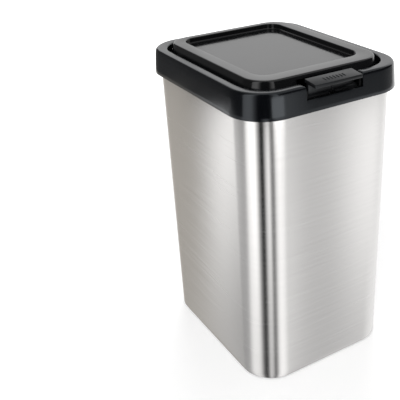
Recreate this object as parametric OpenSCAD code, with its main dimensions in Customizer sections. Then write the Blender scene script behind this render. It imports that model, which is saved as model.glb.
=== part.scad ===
// Small countertop bin: straight steel body, removable inner bucket, and a lift-off
// black collar that carries a sprung lid and a press button at the front.
// +Z is up, the front with the button faces -Y, and the origin is on the floor in the middle.

/* [Overall] */
// Height from the floor to the top of the closed lid
bin_h = 330; // [240:5:420]
// Width across the foot of the collar, left to right
collar_w = 184; // [176:2:230]
// Depth across the foot of the collar, front to back
collar_d = 220; // [200:2:270]
// Corner radius at the foot of the collar
collar_r = 38; // [37:0.5:42]

/* [Collar] */
// Height of the collar's outer band
collar_h = 25; // [24:0.5:30]
// How far the band leans inward over its height
collar_lean = 2.2; // [1.6:0.1:2.6]
// Rounding of the band's top outer edge
collar_round = 3; // [2:0.25:3.5]
// Wall thickness of the collar
collar_t = 2.5; // [2:0.1:2.8]
// From the foot of the collar to the edge of its opening
border = 12; // [11.8:0.1:12.6]
// Corner radius of the opening
opening_r = 33.5; // [32:0.5:34]

/* [Steel body] */
// From the foot of the collar to the steel
shell_inset = 5.5; // [5.4:0.1:5.7]
// Corner radius of the steel body
shell_r = 36; // [35:0.5:37]
// Thickness of the steel sheet
sheet_t = 0.7; // [0.5:0.1:0.9]
// Height of the folded hems at both ends
hem_h = 6; // [4:0.5:8]

/* [Inner bucket] */
// Wall thickness of the bucket
bucket_t = 1.8; // [1.4:0.1:2.2]
// How far each bucket wall leans inward towards the floor
bucket_lean = 5.3; // [3:0.1:7]
// Thickness of the bucket's rim
rim_t = 2; // [1.6:0.1:2.2]

/* [Lid] */
// Height of the lid above the collar
lid_rise = 5; // [4.5:0.25:6]
// From the edge of the opening to the top edge of the lid
lid_step = 7.2; // [6.8:0.1:7.4]
// Gap between the opening and the foot of the lid's skirt
lid_gap = 3.4; // [3:0.1:3.8]
// Corner radius of the lid's top face
lid_r = 24; // [23:0.5:25]
// Thickness of the lid's top
lid_t = 2.2; // [1.8:0.1:2.4]
// Depth of the sunken panel in the lid
panel_depth = 5.5; // [4.5:0.25:9.75]
// Corner radius of the sunken panel
panel_r = 15; // [14:0.5:18]

/* [Button] */
// Width of the slot in the front of the collar
slot_w = 64; // [62:1:70]
// Width of the button's press plate
button_w = 53.5; // [48:0.5:56]
// How far the button stands out past the front of the collar
button_out = 4.2; // [3:0.2:6]
// Number of grip ribs on the button
grip_count = 7; // [3:2:9]

/* [Pins] */
// Radius of the lid's two hinge pins
hinge_pin_r = 1.75; // [1.4:0.05:1.9]
// Radius of the button's pivot pin
button_pin_r = 1.5; // [1.2:0.05:1.6]
// Radial running clearance of the turning parts on their pins
pin_gap = 0.07; // [0.03:0.01:0.1]

/* [Hidden] */
$fn = 64;

// Levels
z_top = bin_h - lid_rise;
z_band = z_top - collar_h;
z_shell = z_band + 5;
z_rim = z_shell + rim_t;
z_slot = z_top - 13;
z_shell_foot = 1.5;
z_base_foot = 2.5;
z_floor = 4;
floor_t = 3;
z_bucket = 10;

// Outlines
shell_w = collar_w - 2 * shell_inset;
shell_d = collar_d - 2 * shell_inset;
hem_t = 2 * sheet_t;
base_w = shell_w - 2 * hem_t;
base_d = shell_d - 2 * hem_t;
base_r = shell_r - hem_t;
base_t = 2.5;
base_h = 18;
seam_w = 14;
open_w = collar_w - 2 * border;
open_d = collar_d - 2 * border;
inner_t = 2.25;
bucket_inset = border - 1.5;
bucket_w = collar_w - 2 * bucket_inset;
bucket_d = collar_d - 2 * bucket_inset;
bucket_r = collar_r - bucket_inset;
bucket_round = 7;
rim_inset = 5;
rib_inset = rim_inset - 0.4;

// Lid
lid_flare = lid_step - lid_gap;
lid_round = 2.3;
skirt_t = 2;
lid_depth = 9;
z_lid_foot = z_top - lid_depth;
z_lid_under = bin_h - lid_t;
lid_w = open_w - 2 * lid_gap;
lid_d = open_d - 2 * lid_gap;
lid_slope = lid_flare / (lid_rise + lid_depth - lid_round);
tub_t = 2;
panel_w = lid_w - 2 * (lid_flare + 13.8);
panel_front = -(lid_d / 2 - lid_flare - 17.3);
panel_back = lid_d / 2 - lid_flare - 9.3;
panel_d = panel_back - panel_front;
panel_y = (panel_back + panel_front) / 2;
z_notch = z_top + 1;

// Lid hinge, one side; the other is its mirror image
hinge_y = open_d / 2 - 18;
hinge_z = z_top - 5;
hinge_x = open_w / 2 - 20.7;
cheek_t = 2;
hinge_space = 6.1;
hinge_out = hinge_x + 2 * cheek_t + hinge_space;
ear_x = hinge_x + cheek_t + 0.3;
ear_t = 2.3;
ear_r = 4.2;
eye_r = 4.5;
pad_y = hinge_y + 7.5;
pad_z = z_rim + 1;
pad_top = pad_z + 4.3;
hinge_screw_x = hinge_x + cheek_t + hinge_space / 2;
hinge_screw_z = z_rim + 3.3;
hinge_boss_y = open_d / 2 + 5.5;
hinge_boss_l = 12;
hinge_head_r = 2.3;
hinge_screw_length = hinge_boss_y - pad_y - 3;
coil_wire_r = 0.5;
coil_r = 2.7;
coil_x = ear_x + ear_t + 0.35 + coil_wire_r;

// Button, latch and catch
pivot_y = -(open_d / 2 + 2.8);
pivot_z = z_rim + 4.5;
barrel_r = 3.3;
cheek_out = slot_w / 2 - 0.4;
cheek_in = cheek_out - 2.2;
barrel_w = 2 * (cheek_in - 0.5);
plate_back = -(open_d / 2 - 1);
plate_front = -(collar_d / 2 + button_out);
plate_z_back = z_top + 3;
plate_z_front = z_top + 1.2;
plate_t = 2;
arm_front = pivot_y - 1.5;
arm_back = pivot_y + 1.5;
arm_w = barrel_w - 5.8;
button_skirt = 3.4;
button_skirt_t = 1.8;
button_end_t = 1.6;
grip_pitch = 3.6;
grip_t = 1.2;
grip_back = plate_back - 6;
grip_front = plate_back - 12;
nose_w = 22;
nose_y = -(open_d / 2 - 2.4);
nose_z = z_top - 6.5;
catch_w = 24;
catch_y = nose_y + 0.4;
catch_z = nose_z - 0.5;
return_wire_r = 0.45;
return_r = 2.5;
spring_window = 7.2;
house_front = -(collar_d / 2 - 3.8);
house_wall_y = -(open_d / 2 + inner_t + 0.35);
house_t = 2;
house_z = z_slot - house_t;
cheek_drop = 5.5;
flange_w = 13;
latch_screw_x = slot_w / 2 + 8;
latch_head_r = 2.6;
latch_screw_y = (house_front + house_wall_y) / 2 - 0.2;
latch_bore = 8;
latch_screw_length = z_slot - house_z + latch_bore - 0.5;

// Screws, ribs, bumpers and feet
screw_r = 1.45;
screw_hole_r = screw_r + 0.05;
screw_pass_r = screw_r + 0.15;
screw_head_h = 1.8;
boss_r = 3;
rib_t = 2;
rib_from_side = 47;
rib_from_end = 55;
rib_x = collar_w / 2 - rib_from_side;
rib_y = collar_d / 2 - rib_from_end;
rib_root = collar_t - 0.5;
rib_depth = rib_inset - rib_root;
bumper_x = slot_w / 2 + 13;
bumper_y = -(lid_d / 2 - 0.4);
bumper_r = 2.5;
bumper_stem_r = 1.2;
shelf_t = 1.5;
shelf_w = 8;
shelf_z = z_lid_foot - 3.7;
foot_r = 9;
foot_stem_r = 3;
foot_inset = 24;
foot_x = shell_w / 2 - foot_inset;
foot_y = shell_d / 2 - foot_inset;
base_rib_t = 2;

// Points of a rounded edge, as [inset, height], from angle a to angle b
function round_pts(inset, z, r, a, b, n = 8) =
    [for (i = [0:n]) let (t = a + (b - a) * i / n) [inset - r * cos(t), z + r * sin(t)]];

// Height of the button's sloping top face at depth y
function plate_z(y) =
    plate_z_back + (plate_z_front - plate_z_back) * (plate_back - y) / (plate_back - plate_front);

module outline(w, d, r) {
    square([w - 2 * r, d], center = true);
    square([w, d - 2 * r], center = true);
    for (x = [-1, 1], y = [-1, 1])
        translate([x * (w / 2 - r), y * (d / 2 - r)])
            circle(r = r);
}

// Upright block with rounded corners
module slab(w, d, r, z0, z1) {
    translate([0, 0, z0])
        linear_extrude(height = z1 - z0)
            outline(w, d, r);
}

// Rounded block whose sides follow [inset, height] points all the way round
module shaped_block(w, d, r, pts) {
    last = len(pts) - 1;
    for (k = [0:3])
        translate([(k == 0 || k == 3 ? 1 : -1) * (w / 2 - r), (k < 2 ? 1 : -1) * (d / 2 - r), 0])
            rotate([0, 0, 90 * k])
                rotate_extrude(angle = 90)
                    polygon(concat([[0, pts[0][1]]], [for (p = pts) [r - p[0], p[1]]], [[0, pts[last][1]]]));
    rotate([90, 0, 0])
        linear_extrude(height = d - 2 * r, center = true)
            both_sides(w / 2, pts);
    rotate([90, 0, 90])
        linear_extrude(height = w - 2 * r, center = true)
            both_sides(d / 2, pts);
}

module both_sides(half, pts) {
    last = len(pts) - 1;
    polygon(concat(
        [for (p = pts) [half - p[0], p[1]]],
        [for (i = [last:-1:0]) [pts[i][0] - half, pts[i][1]]]
    ));
}

// Box from one corner to the other
module span(low, high) {
    translate(low)
        cube(high - low);
}

// Flat shape drawn in the side plane as [depth, height], x0 to x1 across
module side_plate(x0, x1) {
    translate([x0, 0, 0])
        rotate([90, 0, 90])
            linear_extrude(height = x1 - x0)
                children();
}

// Round bar across the bin
module cross_bar(x0, x1, y, z, r) {
    translate([x0, y, z])
        rotate([0, 90, 0])
            cylinder(h = x1 - x0, r = r);
}

// Three close turns across the bin; each leg is [turn, side, reach from the axis to its end]
module coil(x, y, z, r, wire_r, legs) {
    pitch = 1.8 * wire_r;
    translate([x, y, z])
        rotate([0, 90, 0])
            rotate_extrude()
                for (i = [0:2])
                    translate([r, i * pitch])
                        circle(r = wire_r, $fn = 48);
    for (leg = legs) {
        side = leg[1];
        reach = norm(leg[2]);
        angle = atan2(leg[2][1], leg[2][0]) - side * asin(r / reach);
        translate([x + leg[0] * pitch, y - side * r * sin(angle), z + side * r * cos(angle)])
            rotate([angle - 90, 0, 0])
                translate([0, 0, -0.2])
                    cylinder(h = sqrt(reach * reach - r * r) + 0.2, r = wire_r - 0.03, $fn = 48);
    }
}

module outer_shell() {
    color("silver")
        difference() {
            slab(shell_w, shell_d, shell_r, z_shell_foot, z_shell);
            slab(base_w, base_d, base_r, z_shell_foot - 1, z_shell + 1);
            difference() {
                slab(shell_w - 2 * sheet_t, shell_d - 2 * sheet_t, shell_r - sheet_t,
                    z_shell_foot + hem_h, z_shell - hem_h);
                span([-seam_w / 2, base_d / 2, 0], [seam_w / 2, shell_d / 2, z_shell]);
            }
            span([-0.4, shell_d / 2 - 0.3, z_shell_foot - 1], [0.4, shell_d / 2 + 1, z_shell + 1]);
        }
}

module base_tray() {
    color("black")
        difference() {
            union() {
                slab(base_w, base_d, base_r, z_floor, z_floor + floor_t);
                difference() {
                    slab(base_w, base_d, base_r, z_base_foot, z_floor + base_h);
                    slab(base_w - 2 * base_t, base_d - 2 * base_t, base_r - base_t, 0, z_floor + base_h + 1);
                }
                for (i = [-1:1]) {
                    translate([i * base_w / 4, 0, (z_base_foot + z_floor + 1) / 2])
                        cube([base_rib_t, base_d - 2, z_floor + 1 - z_base_foot], center = true);
                    translate([0, i * base_d / 4, (z_base_foot + z_floor + 1) / 2])
                        cube([base_w - 2, base_rib_t, z_floor + 1 - z_base_foot], center = true);
                }
                for (x = [-1, 1], y = [-1, 1])
                    translate([x * foot_x, y * foot_y, z_base_foot])
                        cylinder(h = z_floor - z_base_foot + 1, r = foot_r + 2);
            }
            for (x = [-1, 1], y = [-1, 1])
                translate([x * foot_x, y * foot_y, 0])
                    cylinder(h = z_floor + floor_t + 1, r = foot_stem_r + 0.1);
        }
}

// Push-in rubber foot: pad below, stem through the base, head above its floor
module foot(x, y) {
    color("dimgray")
        translate([x * foot_x, y * foot_y, 0])
            rotate_extrude()
                polygon([
                    [0, 0],
                    [foot_r - 0.8, 0],
                    [foot_r, 0.8],
                    [foot_r, z_base_foot],
                    [foot_stem_r, z_base_foot],
                    [foot_stem_r, z_floor + floor_t],
                    [foot_stem_r + 1.4, z_floor + floor_t],
                    [foot_stem_r + 0.4, z_floor + floor_t + 1.5],
                    [0, z_floor + floor_t + 1.5]
                ]);
}

module inner_bucket() {
    color("black")
        difference() {
            union() {
                shaped_block(bucket_w, bucket_d, bucket_r, concat(
                    round_pts(bucket_lean + bucket_round, z_bucket + bucket_round, bucket_round, -90, 0),
                    [[0, z_rim]]
                ));
                slab(collar_w - 2 * rim_inset, collar_d - 2 * rim_inset, collar_r - rim_inset,
                    z_shell, z_rim);
            }
            shaped_block(bucket_w, bucket_d, bucket_r, concat(
                round_pts(bucket_lean + bucket_round, z_bucket + 0.7 + bucket_round,
                    bucket_round - bucket_t, -90, 0),
                [[bucket_t, z_rim + 1]]
            ));
        }
}

function rib_edge(size) = size / 2 - (rib_root + rib_inset) / 2;

// Upright rib inside the band that centres the collar on the bucket's rim
module locating_rib(x, y, w, d) {
    translate([x, y, (z_band + 1 + z_rim) / 2])
        cube([w, d, z_rim - z_band - 1], center = true);
}

module top_collar() {
    color("#2b2c2e") {
        difference() {
            union() {
                difference() {
                    shaped_block(collar_w, collar_d, collar_r, concat(
                        [[0, z_band]],
                        round_pts(collar_lean + collar_round, z_top - collar_round, collar_round, 5, 90)
                    ));
                    shaped_block(collar_w, collar_d, collar_r, [
                        [collar_t - collar_lean / collar_h, z_band - 1],
                        [collar_t + collar_lean, z_top - collar_t]
                    ]);
                }
                slab(open_w + 2 * inner_t, open_d + 2 * inner_t, opening_r + inner_t, z_rim, z_top - 1);
                for (x = [-1, 1]) {
                    translate([x * latch_screw_x, latch_screw_y, z_slot])
                        cylinder(h = z_top - z_slot - 1, r = boss_r);
                    translate([x * hinge_screw_x, hinge_boss_y, hinge_screw_z])
                        rotate([90, 0, 0])
                            cylinder(h = hinge_boss_l, r = boss_r);
                    for (y = [-1, 1]) {
                        locating_rib(x * rib_x, y * rib_edge(collar_d), rib_t, rib_depth);
                        locating_rib(x * rib_edge(collar_w), y * rib_y, rib_depth, rib_t);
                    }
                }
            }
            slab(open_w, open_d, opening_r, z_band - 1, z_top + 1);
            collar_slot();
            for (x = [-1, 1]) {
                translate([x * latch_screw_x, latch_screw_y, z_slot - 1])
                    cylinder(h = latch_bore + 1, r = screw_hole_r);
                translate([x * hinge_screw_x, hinge_boss_y - 1, hinge_screw_z])
                    rotate([90, 0, 0])
                        cylinder(h = hinge_boss_l, r = screw_hole_r);
            }
        }
        for (x = [-1, 1])
            difference() {
                span([x * bumper_x - shelf_w / 2, -open_d / 2 - 1, shelf_z],
                    [x * bumper_x + shelf_w / 2, bumper_y + bumper_r + 0.7, shelf_z + shelf_t]);
                translate([x * bumper_x, bumper_y, shelf_z - 1])
                    cylinder(h = shelf_t + 2, r = bumper_stem_r + 0.05);
            }
    }
}

// Front slot for the button, with rounded lips at the top of the collar
module collar_slot() {
    lip = 2.5;
    side = concat(
        [[slot_w / 2, z_slot]],
        [for (i = [0:5]) [slot_w / 2 + lip - lip * cos(18 * i), z_top - lip + lip * sin(18 * i)]],
        [[slot_w / 2 + lip, z_top + 1]]
    );
    translate([0, -open_d / 2 + 1, 0])
        rotate([90, 0, 0])
            linear_extrude(height = border + 2)
                polygon(concat(side, [for (i = [len(side) - 1:-1:0]) [-side[i][0], side[i][1]]]));
    span([-slot_w / 2, -open_d / 2 - inner_t - 0.3, z_rim - 1], [slot_w / 2, -open_d / 2 + 1, z_slot + 1]);
}

module latch_housing() {
    color("#1c1c1d")
        difference() {
            union() {
                for (x = [0, 1])
                    mirror([x, 0, 0]) {
                        span([cheek_in, house_front, z_rim + 1],
                            [cheek_out, nose_y - 0.8, z_top - cheek_drop]);
                        span([cheek_in, house_front, house_z], [slot_w / 2 + flange_w, house_wall_y, z_slot]);
                    }
                span([-cheek_out, house_front, house_z], [cheek_out, pivot_y - barrel_r - 0.5, z_slot]);
            }
            cross_bar(-cheek_out - 1, cheek_out + 1, pivot_y, pivot_z, button_pin_r + 0.02);
            for (x = [-1, 1])
                translate([x * latch_screw_x, latch_screw_y, house_z - 1])
                    cylinder(h = z_slot - house_z + 2, r = screw_pass_r);
        }
}

// Pan-head screw, tip up, with its head's seat at the origin
module screw(length, head_r) {
    rotate_extrude()
        polygon([
            [0, -screw_head_h],
            [head_r - 0.8, -screw_head_h],
            [head_r, -screw_head_h + 0.8],
            [head_r, 0],
            [screw_r, 0],
            [screw_r, length - 1],
            [0.5, length],
            [0, length]
        ]);
}

module latch_screws() {
    color("gainsboro")
        for (x = [-1, 1])
            translate([x * latch_screw_x, latch_screw_y, house_z])
                screw(latch_screw_length, latch_head_r);
}

module hinge_screws() {
    color("gainsboro")
        for (x = [-1, 1])
            translate([x * hinge_screw_x, pad_y, hinge_screw_z])
                rotate([-90, 0, 0])
                    screw(hinge_screw_length, hinge_head_r);
}

// Bracket on the collar's inner wall: pad with two cheeks that carry the hinge pin
module hinge_bracket() {
    color("#1c1c1d")
        difference() {
            union() {
                intersection() {
                    span([hinge_x, pad_y, pad_z], [hinge_out, open_d / 2 + 5, pad_top]);
                    slab(open_w, open_d, opening_r, pad_z, pad_top);
                }
                for (x = [hinge_x, hinge_out - cheek_t]) {
                    side_plate(x, x + cheek_t)
                        polygon([
                            [hinge_y - eye_r, hinge_z],
                            [hinge_y - 3, pad_z],
                            [pad_y + 1, pad_z],
                            [pad_y + 1, pad_top],
                            [hinge_y + eye_r, hinge_z]
                        ]);
                    cross_bar(x, x + cheek_t, hinge_y, hinge_z, eye_r);
                }
            }
            cross_bar(hinge_x - 1, hinge_out + 1, hinge_y, hinge_z, hinge_pin_r + 0.02);
            translate([hinge_screw_x, pad_y - 1, hinge_screw_z])
                rotate([-90, 0, 0])
                    cylinder(h = 20, r = screw_pass_r);
        }
}

module hinge_pin() {
    color("silver")
        translate([hinge_x, hinge_y, hinge_z])
            rotate([0, 90, 0])
                rotate_extrude()
                    polygon([
                        [0, 0],
                        [hinge_pin_r - 0.4, 0],
                        [hinge_pin_r, 0.4],
                        [hinge_pin_r, hinge_out - hinge_x],
                        [hinge_pin_r + 1.1, hinge_out - hinge_x],
                        [hinge_pin_r + 0.8, hinge_out - hinge_x + 1],
                        [0, hinge_out - hinge_x + 1]
                    ]);
}

module lid_spring() {
    color("lightgray")
        coil(coil_x, hinge_y, hinge_z, coil_r, coil_wire_r, [
            [0, -1, [-12.2, z_lid_under - coil_wire_r - hinge_z]],
            [2, -1, [pad_y + 2.5 - hinge_y, pad_top + coil_wire_r - hinge_z]]
        ]);
}

module lid_cover() {
    color("#2b2c2e")
        difference() {
            union() {
                difference() {
                    shaped_block(lid_w, lid_d, lid_r + lid_flare, concat(
                        [[0, z_lid_foot]],
                        round_pts(lid_flare + lid_round, bin_h - lid_round, lid_round, 17, 90)
                    ));
                    shaped_block(lid_w, lid_d, lid_r + lid_flare, [
                        [skirt_t - lid_slope, z_lid_foot - 1],
                        [skirt_t + lid_slope * (z_lid_under - z_lid_foot), z_lid_under]
                    ]);
                    span([-slot_w / 2 + 0.5, -lid_d / 2 - 1, z_lid_foot - 1],
                        [slot_w / 2 - 0.5, -lid_d / 2 + lid_flare + skirt_t + 1, z_notch]);
                    for (x = [0, 1])
                        mirror([x, 0, 0])
                            span([hinge_x - 3.8, hinge_y - 7, z_lid_foot - 1],
                                [lid_w / 2 + 1, lid_d / 2 + 1, z_notch]);
                }
                translate([0, panel_y, 0])
                    slab(panel_w + 2 * tub_t, panel_d + 2 * tub_t, panel_r + tub_t,
                        bin_h - panel_depth - lid_t, bin_h - 1);
                side_plate(-catch_w / 2, catch_w / 2)
                    polygon([
                        [catch_y, catch_z],
                        [catch_y, catch_z - 1.2],
                        [catch_y + 1.3, catch_z - 2.5],
                        [catch_y + 7.2, catch_z - 2.5],
                        [catch_y + 7.2, z_lid_under + 0.5],
                        [catch_y + 5.2, z_lid_under + 0.5],
                        [catch_y + 5.2, catch_z]
                    ]);
                for (x = [0, 1])
                    mirror([x, 0, 0]) {
                        side_plate(ear_x, ear_x + ear_t)
                            polygon([
                                [hinge_y - ear_r, hinge_z],
                                [hinge_y + ear_r, hinge_z],
                                [hinge_y + 6, z_lid_under + 0.5],
                                [hinge_y - 8, z_lid_under + 0.5]
                            ]);
                        cross_bar(ear_x, ear_x + ear_t, hinge_y, hinge_z, ear_r);
                    }
            }
            translate([0, panel_y, 0])
                slab(panel_w, panel_d, panel_r, bin_h - panel_depth, bin_h + 1);
            for (x = [0, 1])
                mirror([x, 0, 0])
                    cross_bar(ear_x - 1, ear_x + ear_t + 1, hinge_y, hinge_z, hinge_pin_r + pin_gap);
        }
}

module lid_bumper(x) {
    color("dimgray")
        translate([x * bumper_x, bumper_y, shelf_z])
            rotate_extrude()
                polygon([
                    [0, -0.5],
                    [bumper_stem_r, -0.5],
                    [bumper_stem_r, shelf_t],
                    [bumper_r, shelf_t],
                    [bumper_r, z_lid_foot - shelf_z - 0.9],
                    [bumper_r - 0.6, z_lid_foot - shelf_z - 0.3],
                    [0, z_lid_foot - shelf_z - 0.3]
                ]);
}

module push_button() {
    color("#3a3c3e")
        difference() {
            union() {
                side_plate(-button_w / 2, button_w / 2)
                    polygon([
                        [plate_back, plate_z(plate_back) - 0.4],
                        [plate_back - 0.5, plate_z(plate_back - 0.5)],
                        [plate_front + 0.8, plate_z(plate_front + 0.8)],
                        [plate_front, plate_z(plate_front) - 0.7],
                        [plate_front, plate_z(plate_front) - button_skirt],
                        [plate_front + button_skirt_t, plate_z(plate_front) - button_skirt],
                        [plate_front + button_skirt_t, plate_z(plate_front + button_skirt_t) - plate_t],
                        [plate_back, plate_z(plate_back) - plate_t]
                    ]);
                for (x = [0, 1])
                    mirror([x, 0, 0])
                        side_plate(button_w / 2 - button_end_t, button_w / 2)
                            polygon([
                                [plate_back - 0.5, plate_z(plate_back) - 1],
                                [plate_back - 0.5, plate_z(plate_back) - plate_t - 1.8],
                                [plate_front + 1.5, plate_z(plate_front) - button_skirt],
                                [plate_front + 0.2, plate_z(plate_front) - button_skirt],
                                [plate_front + 0.2, plate_z(plate_front) - 1]
                            ]);
                for (i = [0:grip_count - 1]) {
                    x = (i - (grip_count - 1) / 2) * grip_pitch;
                    side_plate(x - grip_t / 2, x + grip_t / 2)
                        polygon([
                            [grip_back, plate_z(grip_back) + 0.5],
                            [grip_front, plate_z(grip_front) + 0.5],
                            [grip_front, plate_z(grip_front) - 1],
                            [grip_back, plate_z(grip_back) - 1]
                        ]);
                }
                side_plate(-arm_w / 2, arm_w / 2)
                    polygon([
                        [arm_front, pivot_z],
                        [arm_back, pivot_z],
                        [arm_back, plate_z(arm_back) - 1],
                        [arm_front, plate_z(arm_front) - 1]
                    ]);
                side_plate(-nose_w / 2, nose_w / 2)
                    polygon([
                        [arm_back - 1, nose_z],
                        [nose_y, nose_z],
                        [nose_y, nose_z + 1],
                        [arm_back, nose_z + 5],
                        [arm_back - 1, nose_z + 5]
                    ]);
                cross_bar(-barrel_w / 2, barrel_w / 2, pivot_y, pivot_z, barrel_r);
            }
            cross_bar(-barrel_w / 2 - 1, barrel_w / 2 + 1, pivot_y, pivot_z, button_pin_r + pin_gap);
            span([-spring_window / 2, pivot_y - 5, pivot_z - 5],
                [spring_window / 2, pivot_y + 5, pivot_z + 4.5]);
        }
}

module button_pin() {
    color("silver")
        cross_bar(-cheek_out, cheek_out, pivot_y, pivot_z, button_pin_r);
}

module button_spring() {
    color("lightgray")
        coil(-0.8, pivot_y, pivot_z, return_r, return_wire_r, [
            [0, -1, [house_front + 0.6 - pivot_y, z_slot + return_wire_r - pivot_z]],
            [2, 1, [arm_front - return_wire_r - pivot_y, 7.7]]
        ]);
}

outer_shell();
base_tray();
foot(-1, -1);  // foot_front_left
foot(1, -1);  // foot_front_right
foot(-1, 1);  // foot_back_left
foot(1, 1);  // foot_back_right
inner_bucket();
top_collar();
latch_housing();
latch_screws();
mirror([1, 0, 0]) hinge_bracket();  // hinge_bracket_left
hinge_bracket();  // hinge_bracket_right
hinge_screws();
mirror([1, 0, 0]) hinge_pin();  // hinge_pin_left
hinge_pin();  // hinge_pin_right
mirror([1, 0, 0]) lid_spring();  // lid_spring_left
lid_spring();  // lid_spring_right
lid_cover();
lid_bumper(-1);  // lid_bumper_left
lid_bumper(1);  // lid_bumper_right
push_button();
button_pin();
button_spring();
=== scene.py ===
import bmesh
import bpy
import math
from mathutils import Matrix, Vector


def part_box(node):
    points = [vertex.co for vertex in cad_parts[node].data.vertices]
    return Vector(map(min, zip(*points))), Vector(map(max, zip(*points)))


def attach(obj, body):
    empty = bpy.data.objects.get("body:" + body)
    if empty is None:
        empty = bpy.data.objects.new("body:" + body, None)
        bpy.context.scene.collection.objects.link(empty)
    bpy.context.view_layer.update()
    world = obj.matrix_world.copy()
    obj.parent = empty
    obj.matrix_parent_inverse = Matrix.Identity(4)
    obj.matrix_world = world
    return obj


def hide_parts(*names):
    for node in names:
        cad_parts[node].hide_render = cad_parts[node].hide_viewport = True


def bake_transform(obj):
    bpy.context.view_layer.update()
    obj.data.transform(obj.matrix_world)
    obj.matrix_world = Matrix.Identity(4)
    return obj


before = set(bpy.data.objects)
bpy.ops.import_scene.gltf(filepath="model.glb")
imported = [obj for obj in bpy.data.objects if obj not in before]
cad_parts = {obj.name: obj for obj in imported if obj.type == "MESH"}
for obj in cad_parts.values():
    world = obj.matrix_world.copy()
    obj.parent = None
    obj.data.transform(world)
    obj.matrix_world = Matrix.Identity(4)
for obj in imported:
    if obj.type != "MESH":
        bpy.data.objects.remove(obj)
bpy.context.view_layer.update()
mm = 0.001  # the tables below are in millimetres, the scene is in metres
print("frame loaded")

cameraView = {
    "azimuth": -31.64,
    "elevation": 28.15,
    "roll": -1.79,
    "distance": 765.6,
    "target": (-21.75, -7.56, 165),
    "focalPixels": 696.4,
    "picture": 400,
    "sensor": 36,
    "shift": -0.15,
}


def addToScene(name, data):
    thing = bpy.data.objects.new(name, data)
    bpy.context.scene.collection.objects.link(thing)
    return thing


def makeCamera(view):
    a, e, t = (math.radians(view[k]) for k in ("azimuth", "elevation", "roll"))
    back = Vector((math.sin(a) * math.cos(e), -math.cos(a) * math.cos(e), math.sin(e)))
    right = Vector((math.cos(a), math.sin(a), 0))
    up = back.cross(right)
    across = right * math.cos(t) + up * math.sin(t)
    upward = up * math.cos(t) - right * math.sin(t)
    place = (Vector(view["target"]) + back * view["distance"]) * mm
    data = bpy.data.cameras.new("camera")
    data.sensor_width = view["sensor"]
    data.lens = view["focalPixels"] / view["picture"] * view["sensor"]
    data.shift_x = view["shift"]
    camera = addToScene("camera", data)
    camera.matrix_world = Matrix.Translation(place) @ Matrix((across, upward, back)).transposed().to_4x4()
    bpy.context.scene.camera = camera


makeCamera(cameraView)
print("camera placed")


def nodeBox(node):
    low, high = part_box(node)
    return low / mm, high / mm


def smoothMesh(mesh, angle):
    mesh.shade_smooth()
    mesh.set_sharp_from_angle(angle=math.radians(angle))


def newObject(name, bm, material, smoothAngle=35):
    mesh = bpy.data.meshes.new(name)
    bm.to_mesh(mesh)
    bm.free()
    mesh.transform(Matrix.Scale(mm, 4))
    mesh.materials.append(material)
    smoothMesh(mesh, smoothAngle)
    return addToScene(name, mesh)


def finalMesh(piece):
    bpy.context.view_layer.update()
    return bpy.data.meshes.new_from_object(piece.evaluated_get(bpy.context.evaluated_depsgraph_get()))


def applyModifiers(piece, smoothAngle=35):
    mesh = finalMesh(piece)
    mesh.name = piece.name
    piece.modifiers.clear()
    piece.data = mesh
    smoothMesh(mesh, smoothAngle)
    return piece


def bevelEdges(piece, width, segments=2, angle=40, smoothAngle=50):
    bevel = piece.modifiers.new("bevel", "BEVEL")
    bevel.width = width * mm
    bevel.segments = segments
    bevel.limit_method = "ANGLE"
    bevel.angle_limit = math.radians(angle)
    return applyModifiers(piece, smoothAngle)


def joinPieces(name, first, *others):
    bm = bmesh.new()
    for piece in (first, *others):
        bm.from_mesh(piece.data)
    bm.to_mesh(first.data)
    bm.free()
    for piece in others:
        bpy.data.objects.remove(piece)
    first.name = name
    return first


leftAndRight = ((-1, "left"), (1, "right"))


def dress(piece, body, slot, *nodes):
    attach(piece, body)
    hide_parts(*nodes)


# Joins corners within two microns of each other
def weld(bm):
    bmesh.ops.remove_doubles(bm, verts=bm.verts, dist=0.002)


def faceOutward(bm):
    bmesh.ops.recalc_face_normals(bm, faces=bm.faces)


# Upright rounded outline at one height: half width, half depth, corner radius, height, middle y
def outline(halfWidth, halfDepth, radius, z, middle=0):
    return halfWidth, halfDepth, radius, z, middle


# The same outline drawn in from the sides of a box
def insetOutline(high, corner):
    return lambda inset, z: outline(high.x - inset, high.y - inset, corner - inset, z)


# The stops round an outline, from the middle of the front and turning left as seen from above
def planStops(frontX, backX, sideY, cornerAngles):
    stops = [("front", x, 0, 0) for x in frontX if x >= 0]
    stops += [("corner", 270 + a, 1, -1) for a in cornerAngles]
    stops += [("right", y, 0, 0) for y in sideY]
    stops += [("corner", a, 1, 1) for a in cornerAngles]
    stops += [("back", x, 0, 0) for x in reversed(backX)]
    stops += [("corner", 90 + a, -1, 1) for a in cornerAngles]
    stops += [("left", y, 0, 0) for y in reversed(sideY)]
    stops += [("corner", 180 + a, -1, -1) for a in cornerAngles]
    stops += [("front", x, 0, 0) for x in frontX if x < 0]
    return stops


def stopPoint(shape, stop):
    halfWidth, halfDepth, radius, z, middle = shape
    kind, value, sideX, sideY = stop
    if kind == "corner":
        t = math.radians(value)
        x = sideX * (halfWidth - radius) + radius * math.cos(t)
        y = sideY * (halfDepth - radius) + radius * math.sin(t)
    elif kind in ("front", "back"):
        x, y = value, halfDepth if kind == "back" else -halfDepth
    else:
        x, y = halfWidth if kind == "right" else -halfWidth, value
    return Vector((x, y + middle, z))


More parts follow.
